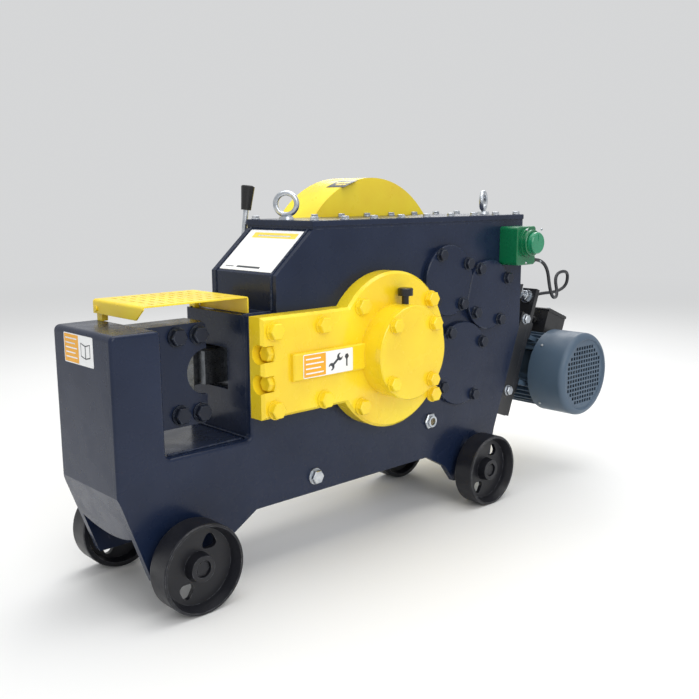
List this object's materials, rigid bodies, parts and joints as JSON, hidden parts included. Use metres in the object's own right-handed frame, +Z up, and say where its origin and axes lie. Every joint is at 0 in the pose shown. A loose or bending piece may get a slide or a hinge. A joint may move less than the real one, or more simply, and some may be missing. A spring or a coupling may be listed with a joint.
{
  "type": "rebar cutter",
  "caption": "Wheeled electric rebar cutter: open bar throat with fixed and sliding blade, geared crank in a welded box, belt driven flywheel and rear motor",
  "frame": {"origin": "on the floor under the middle of the machine's bounding box", "axes": "+X from the cutting column towards the motor, +Z up, +Y towards the flywheel side"},
  "size_m": [1.505, 0.4894, 0.83],
  "materials": {
    "side_plate_near": "gloss",
    "side_plate_far": "gloss",
    "column_box": "gloss",
    "housing_front": "gloss",
    "rear_wall": "gloss",
    "top_cover": "gloss",
    "bearing_covers": "gloss",
    "bearing_cover_bolts": "gloss",
    "far_bearing_caps": "gloss",
    "blade_seat": "gloss",
    "blade_holder": "gloss",
    "holder_bolts": "gloss",
    "rod_cover": "gloss",
    "hub_cap": "gloss",
    "rod_cover_bolts": "gloss",
    "guard_back": "gloss",
    "guard_cover": "gloss",
    "blade_guard": "gloss",
    "guard_hinge": "gloss",
    "motor_plate": "satin",
    "motor_brackets": "satin",
    "terminal_box": "satin",
    "motor_barrel": "satin",
    "fan_cover": "satin",
    "switch_box": "gloss",
    "switch_knob": "gloss",
    "wheel_front_near": "satin",
    "wheel_front_far": "satin",
    "wheel_rear_near": "satin",
    "wheel_rear_far": "satin",
    "flywheel": "satin",
    "motor_pulley": "satin",
    "ram": "machined",
    "moving_blade": "machined",
    "fixed_blade": "machined",
    "ram_yoke": "machined",
    "ram_guides": "machined",
    "crankshaft": "machined",
    "crank_gear": "machined",
    "flywheel_shaft": "machined",
    "second_shaft": "machined",
    "third_shaft": "machined",
    "clutch_sleeve": "machined",
    "shift_fork": "machined",
    "motor_rotor": "machined",
    "axles": "machined",
    "cover_bolts": "plated",
    "eye_bolts": "plated",
    "plated_bolts": "plated",
    "tension_screw": "plated",
    "sight_glass_ring": "plated",
    "clutch_lever": "plated",
    "bearing_bushes": "machined",
    "lever_grip": "satin",
    "oil_filler": "satin",
    "cable_glands": "satin",
    "motor_cable": "matt",
    "drive_belts": "matt",
    "sight_glass_lens": "clear"
  },
  "bodies": {
    "frame": {"side_plate_near": "side_plate_near", "side_plate_far": "side_plate_far", "column_box": "column_box", "housing_front": "housing_front", "rear_wall": "rear_wall", "top_cover": "top_cover", "cover_bolts": "cover_bolts", "eye_bolts": "eye_bolts", "blade_seat": "blade_seat", "blade_holder": "blade_holder", "holder_bolts": "holder_bolts", "fixed_blade": "fixed_blade", "ram_guides": "ram_guides", "bearing_bushes": "bearing_bushes", "far_bearing_caps": "far_bearing_caps", "rod_cover": "rod_cover", "hub_cap": "hub_cap", "rod_cover_bolts": "rod_cover_bolts", "oil_filler": "oil_filler", "sight_glass_ring": "sight_glass_ring", "sight_glass_lens": "sight_glass_lens", "bearing_covers": "bearing_covers", "bearing_cover_bolts": "bearing_cover_bolts", "axles": "axles", "motor_barrel": "motor_barrel", "fan_cover": "fan_cover", "motor_plate": "motor_plate", "motor_brackets": "motor_brackets", "plated_bolts": "plated_bolts", "tension_screw": "tension_screw", "terminal_box": "terminal_box", "drive_belts": "drive_belts", "guard_back": "guard_back", "guard_cover": "guard_cover", "guard_hinge": "guard_hinge", "switch_box": "switch_box", "cable_glands": "cable_glands", "motor_cable": "motor_cable"},
    "flywheel_group": {"flywheel": "flywheel", "flywheel_shaft": "flywheel_shaft"},
    "second_shaft_group": {"second_shaft": "second_shaft"},
    "third_shaft_group": {"third_shaft": "third_shaft"},
    "crank_gear_group": {"crank_gear": "crank_gear"},
    "rotor_group": {"motor_rotor": "motor_rotor", "motor_pulley": "motor_pulley"},
    "crankshaft_group": {"crankshaft": "crankshaft"},
    "sleeve_group": {"clutch_sleeve": "clutch_sleeve"},
    "fork_group": {"shift_fork": "shift_fork"},
    "ram_group": {"ram": "ram", "moving_blade": "moving_blade", "ram_yoke": "ram_yoke"},
    "lever_group": {"clutch_lever": "clutch_lever", "lever_grip": "lever_grip"},
    "blade_guard_group": {"blade_guard": "blade_guard"},
    "knob_group": {"switch_knob": "switch_knob"},
    "front_near_wheel": {"wheel_front_near": "wheel_front_near"},
    "front_far_wheel": {"wheel_front_far": "wheel_front_far"},
    "rear_near_wheel": {"wheel_rear_near": "wheel_rear_near"},
    "rear_far_wheel": {"wheel_rear_far": "wheel_rear_far"}
  },
  "joints": [
    {"name": "flywheel_spin", "type": "hinge", "parent": "frame", "child": "flywheel_group", "pos_m": [0.1555, -0.0183, 0.581], "axis": [0, 1, 0], "continuous": true},
    {"name": "second_shaft_spin", "type": "hinge", "parent": "frame", "child": "second_shaft_group", "pos_m": [0.3129, -0.0183, 0.535], "axis": [0, 1, 0], "continuous": true},
    {"name": "third_shaft_spin", "type": "hinge", "parent": "frame", "child": "third_shaft_group", "pos_m": [0.2084, -0.0183, 0.3704], "axis": [0, 1, 0], "continuous": true},
    {"name": "crank_gear_spin", "type": "hinge", "parent": "frame", "child": "crank_gear_group", "pos_m": [-0.0703, -0.0183, 0.4429], "axis": [0, 1, 0], "continuous": true},
    {"name": "motor_spin", "type": "hinge", "parent": "frame", "child": "rotor_group", "pos_m": [0.6375, -0.0183, 0.293], "axis": [0, 1, 0], "continuous": true},
    {"name": "crank_turn", "type": "hinge", "parent": "frame", "child": "crankshaft_group", "pos_m": [-0.0703, -0.0183, 0.4429], "axis": [0, 1, 0], "range_deg": [0, 180]},
    {"name": "ram_slide", "type": "slide", "parent": "frame", "child": "ram_group", "axis": [-1, 0, 0], "range_m": [0, 0.048]},
    {"name": "clutch_lever_turn", "type": "hinge", "parent": "frame", "child": "lever_group", "pos_m": [-0.2975, -0.0183, 0.443], "axis": [0, 1, 0], "range_deg": [0, 14]},
    {"name": "shift_fork_slide", "type": "slide", "parent": "frame", "child": "fork_group", "axis": [0, -1, 0], "range_m": [0, 0.002]},
    {"name": "clutch_sleeve_slide", "type": "slide", "parent": "crankshaft_group", "child": "sleeve_group", "axis": [0, -1, 0], "range_m": [0, 0.002]},
    {"name": "blade_guard_lift", "type": "hinge", "parent": "frame", "child": "blade_guard_group", "pos_m": [-0.5405, 0.0737, 0.568], "axis": [-1, 0, 0], "range_deg": [0, 90]},
    {"name": "switch_turn", "type": "hinge", "parent": "frame", "child": "knob_group", "pos_m": [0.4045, -0.2183, 0.664], "axis": [0, 1, 0], "range_deg": [0, 90]},
    {"name": "front_near_wheel_roll", "type": "hinge", "parent": "frame", "child": "front_near_wheel", "pos_m": [-0.6165, -0.1743, 0.09], "axis": [0, 1, 0], "continuous": true},
    {"name": "front_far_wheel_roll", "type": "hinge", "parent": "frame", "child": "front_far_wheel", "pos_m": [-0.6165, 0.1377, 0.09], "axis": [0, 1, 0], "continuous": true},
    {"name": "rear_near_wheel_roll", "type": "hinge", "parent": "frame", "child": "rear_near_wheel", "pos_m": [0.2695, -0.1743, 0.09], "axis": [0, 1, 0], "continuous": true},
    {"name": "rear_far_wheel_roll", "type": "hinge", "parent": "frame", "child": "rear_far_wheel", "pos_m": [0.2695, 0.1377, 0.09], "axis": [0, 1, 0], "continuous": true}
  ],
  "couplings": [
    {"joint": "second_shaft_spin", "follows": "flywheel_spin", "ratio": -0.51852},
    {"joint": "third_shaft_spin", "follows": "flywheel_spin", "ratio": 0.23045},
    {"joint": "crank_gear_spin", "follows": "flywheel_spin", "ratio": -0.085597},
    {"joint": "motor_spin", "follows": "flywheel_spin", "ratio": 4.3333},
    {"joint": "ram_slide", "follows": "crank_turn", "m_per_rad": 0.015279},
    {"joint": "shift_fork_slide", "follows": "clutch_lever_turn", "m_per_rad": 0.0081851},
    {"joint": "clutch_sleeve_slide", "follows": "clutch_lever_turn", "m_per_rad": 0.0081851}
  ]
}
